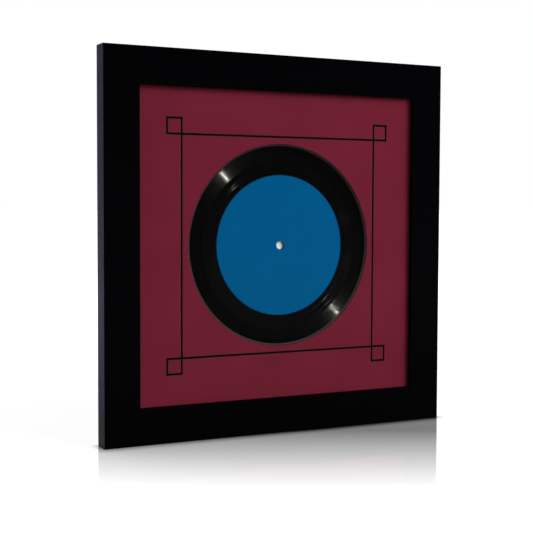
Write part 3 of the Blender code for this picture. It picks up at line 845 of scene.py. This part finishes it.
FLOOR_REACH = 30.0
FLOOR_DROP = 0.1 * MM
FLOOR_WHITE = 0.3
FLOOR_SEEN_WHITE = 0.6
FLOOR_LIGHT_NEAR = 0.56
FLOOR_LIGHT_FAR = 1.0
FLOOR_NEAR = 0.15
FLOOR_FAR = 1.1
FOOT_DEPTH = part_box("rail_bottom")[1].y
FOOT_SHADE_REACH = 9 * MM
FOOT_SHADE = 0.55
MIRROR_FADE_TOWARDS = math.radians(27.045)
MIRROR_FADE_START = -222 * MM
MIRROR_FADE_LENGTH = 290 * MM
MIRROR_MOST = 0.80
MIRROR_FOOT = 0.20
MIRROR_FOOT_REACH = 14 * MM
MIRROR_BACK_REACH = 400 * MM
MIRROR_ROUGHNESS = 0.03


def seen_share(tree):
    """One for a ray that shows the floor or the room, straight, by a mirror or through the glazing."""
    path = tree.nodes.new("ShaderNodeLightPath")
    seen = path.outputs["Is Camera Ray"]
    for kind in ("Is Glossy Ray", "Is Transmission Ray"):
        either = tree.nodes.new("ShaderNodeMath")
        either.operation = "MAXIMUM"
        tree.links.new(seen, either.inputs[0])
        tree.links.new(path.outputs[kind], either.inputs[1])
        seen = either.outputs[0]
    return seen


def floor_finish():
    """White, with a mirror of the frame's foot that fades out in front of it, and a soft shade round it."""
    made = Finish("white_floor", Roughness=1.0, Specular_IOR_Level=0.0, Emission_Color=(1, 1, 1))
    seen = seen_share(made.tree)
    white = made.span(seen, 0.0, 1.0, FLOOR_WHITE, FLOOR_SEEN_WHITE)
    x, y, z = made.axes(made.spot)
    aside = made.math("MAXIMUM", made.math("SUBTRACT", made.math("ABSOLUTE", x), HIGH.x), 0.0)
    ahead = made.math("SUBTRACT", LOW.y, y)
    beyond = made.math("SUBTRACT", y, FOOT_DEPTH)
    apart = made.math("MAXIMUM", made.math("MAXIMUM", ahead, beyond), 0.0)
    distance = made.length(aside, apart)
    # Painted shade round the foot: the floor's glow and the colour of its mirror darken near the frame.
    shade = made.span(distance, 0.0, FOOT_SHADE_REACH, 1.0, 0.0)
    shade = made.math("MULTIPLY", shade, shade)
    light = made.span(distance, FLOOR_NEAR, FLOOR_FAR, FLOOR_LIGHT_NEAR, FLOOR_LIGHT_FAR)
    shading = made.span(shade, 0.0, 1.0, 1.0, 1.0 - FOOT_SHADE)
    light = made.math("MULTIPLY", light, shading)
    made.set(
        Base_Color=made.node("ShaderNodeCombineColor", {0: white, 1: white, 2: white}).outputs[0],
        Emission_Strength=made.math("MULTIPLY", seen, light),
    )
    beside = made.math("MULTIPLY", x, math.sin(MIRROR_FADE_TOWARDS))
    inside = made.math("MULTIPLY", made.math("SUBTRACT", y, FRONT_CENTRE.y), math.cos(MIRROR_FADE_TOWARDS))
    inward = made.math("ADD", beside, inside)
    before = made.span(inward, MIRROR_FADE_START, MIRROR_FADE_START + MIRROR_FADE_LENGTH)
    behind = made.span(y, HIGH.y, HIGH.y + MIRROR_BACK_REACH, 1.0, 0.0)
    share = made.math("MINIMUM", made.math("MULTIPLY", before, behind), MIRROR_MOST)
    foot = made.span(distance, 0.0, MIRROR_FOOT_REACH, MIRROR_FOOT, 0.0)
    share = made.math("MULTIPLY", made.math("MINIMUM", made.math("ADD", share, foot), 1.0), seen)
    # The mirror's colour carries the same painted shade.
    mirror_shading = made.node("ShaderNodeCombineColor", {0: shading, 1: shading, 2: shading}).outputs[0]
    mirror = made.node("ShaderNodeBsdfGlossy", {"Color": mirror_shading, "Roughness": MIRROR_ROUGHNESS})
    mixed = made.node("ShaderNodeMixShader", {0: share, 1: made.shader.outputs[0], 2: mirror.outputs[0]})
    made.tree.links.new(mixed.outputs[0], made.tree.nodes["Material Output"].inputs["Surface"])
    return made.material


def make_floor():
    bm = bmesh.new()
    bmesh.ops.create_grid(bm, x_segments=1, y_segments=1, size=FLOOR_REACH)
    bmesh.ops.translate(bm, verts=bm.verts, vec=(0, 0, -FLOOR_DROP))
    floor = new_piece("pale_floor", bm, floor_finish())


# The light

AMBIENT = 0.44
BACKDROP = 1.0
KEY_AIM = Vector((0.48, -0.72, 0.50))
KEY_DISTANCE = 2.6
KEY_SIDE = 1.8
KEY_POWER = 66.5
BACK_AIM = Vector((-0.35, 0.75, 0.60))
BACK_DISTANCE = 2.0
BACK_SIDE = 2.0
BACK_POWER = 20.0
SIDE_AIM = Vector((-0.2, 0.125, 0.006))
SIDE_DISTANCE = 0.236
SIDE_SIZES = (0.10, 0.36)
SIDE_POWER = 0.083
SIDE_COLOUR = (0.07, 0.0, 1.0)
STREAK_AIM = Vector((-0.2078, -0.6903, 0.6931))
STREAK_AXIS = Vector((-0.4271, 0.6794, 0.5967))
STREAK_DISTANCE = 1.5
STREAK_SIZES = (0.44, 0.010)
STREAK_POWER = 177.0
STREAK_COLOUR = (1.0, 0.97, 0.84)


def make_world():
    world = bpy.data.worlds.new("white_room")
    bpy.context.scene.world = world
    world.use_nodes = True
    tree = world.node_tree
    background = tree.nodes["Background"]
    background.inputs["Color"].default_value = (1, 1, 1, 1)
    strength = tree.nodes.new("ShaderNodeMapRange")
    strength.inputs["To Min"].default_value = AMBIENT
    strength.inputs["To Max"].default_value = BACKDROP
    tree.links.new(seen_share(tree), strength.inputs["Value"])
    tree.links.new(strength.outputs[0], background.inputs["Strength"])


def make_lamp(name, aim, distance, sizes, power, colour=(1, 1, 1), diffuse=True, glossy=True, axis=None):
    """An area lamp that faces the middle of the frame's front from the side that aim points to."""
    data = bpy.data.lights.new(name, "AREA")
    data.shape = "RECTANGLE"
    data.size, data.size_y = sizes
    data.energy = power
    data.color = colour
    lamp = bpy.data.objects.new(name, data)
    back = aim.normalized()
    turn = back.to_track_quat("Z", "Y").to_matrix()
    if axis:
        across = (axis - back * axis.dot(back)).normalized()
        turn = Matrix((across, back.cross(across), back)).transposed()
    lamp.matrix_world = Matrix.Translation(FRONT_CENTRE + back * distance) @ turn.to_4x4()
    lamp.visible_camera = False
    lamp.visible_diffuse = diffuse
    lamp.visible_glossy = glossy
    bpy.context.scene.collection.objects.link(lamp)
    return lamp


def light_only(lamp, pieces):
    lit = bpy.data.collections.new(f"lit_by_{lamp.name}")
    for piece in pieces:
        lit.objects.link(piece)
    lamp.light_linking.receiver_collection = lit


def make_light(rails, disc):
    make_world()
    make_lamp("key_lamp", KEY_AIM, KEY_DISTANCE, (KEY_SIDE, KEY_SIDE), KEY_POWER, glossy=False)
    make_lamp("back_lamp", BACK_AIM, BACK_DISTANCE, (BACK_SIDE, BACK_SIDE), BACK_POWER, glossy=False)
    side = make_lamp("side_lamp", SIDE_AIM, SIDE_DISTANCE, SIDE_SIZES, SIDE_POWER, SIDE_COLOUR, diffuse=False)
    light_only(side, rails)
    streak = make_lamp("streak_lamp", STREAK_AIM, STREAK_DISTANCE, STREAK_SIZES, STREAK_POWER, STREAK_COLOUR,
                       diffuse=False, axis=STREAK_AXIS)
    light_only(streak, [disc])


def main():
    bpy.context.scene.view_settings.view_transform = "Standard"
    place_camera()
    rails = make_rails()
    disc = make_disc()
    make_labels()
    make_boards()
    make_fasteners()
    make_floor()
    make_light(rails, disc)


main()
